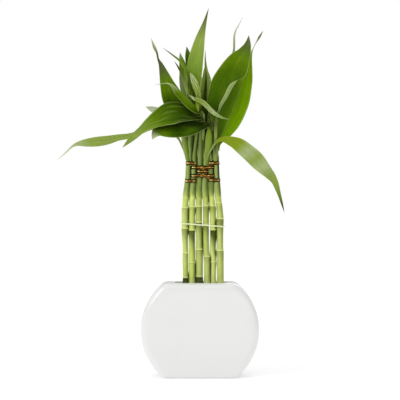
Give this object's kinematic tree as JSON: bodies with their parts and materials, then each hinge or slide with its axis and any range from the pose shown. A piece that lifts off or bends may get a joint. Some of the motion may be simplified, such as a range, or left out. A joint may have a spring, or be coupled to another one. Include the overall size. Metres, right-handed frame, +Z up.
{
  "type": "potted dracaena",
  "caption": "Lucky bamboo dracaena: straight ringed canes with leafy shoots, tied in a flat bundle and standing in pebbles in a white ceramic disc vase.",
  "frame": {"origin": "centre of the vase's flat foot, on the surface it stands on", "axes": "+Z up along the canes, +X across the vase's round face to the right as seen from the front, +Y from the front face to the back"},
  "size_m": [0.2673, 0.1368, 0.4361],
  "materials": {
    "white_glaze": "glossy white glaze",
    "river_pebble": "wet rounded pebbles in shallow water",
    "leaf_and_cane": "living plant, waxy green leaves on smooth yellow-green canes",
    "gold_foil": "metallised gold twist tie with maroon edges",
    "pale_rubber": "pale satin rubber"
  },
  "bodies": {
    "root": {"moon_vase": "white_glaze", "pebble_bed": "river_pebble", "stalk_front_1": "leaf_and_cane", "stalk_front_2": "leaf_and_cane", "stalk_front_3": "leaf_and_cane", "stalk_front_4": "leaf_and_cane", "stalk_front_5": "leaf_and_cane", "stalk_front_6": "leaf_and_cane", "stalk_back_1": "leaf_and_cane", "stalk_back_2": "leaf_and_cane", "stalk_back_3": "leaf_and_cane", "stalk_back_4": "leaf_and_cane", "stalk_back_5": "leaf_and_cane", "stalk_back_6": "leaf_and_cane", "tie_top_left": "gold_foil", "tie_top_right": "gold_foil", "tie_upper": "gold_foil", "tie_middle": "gold_foil", "tie_lower": "gold_foil", "tie_bottom_left": "gold_foil", "tie_bottom_right": "gold_foil", "rubber_band": "pale_rubber"}
  },
  "joints": []
}
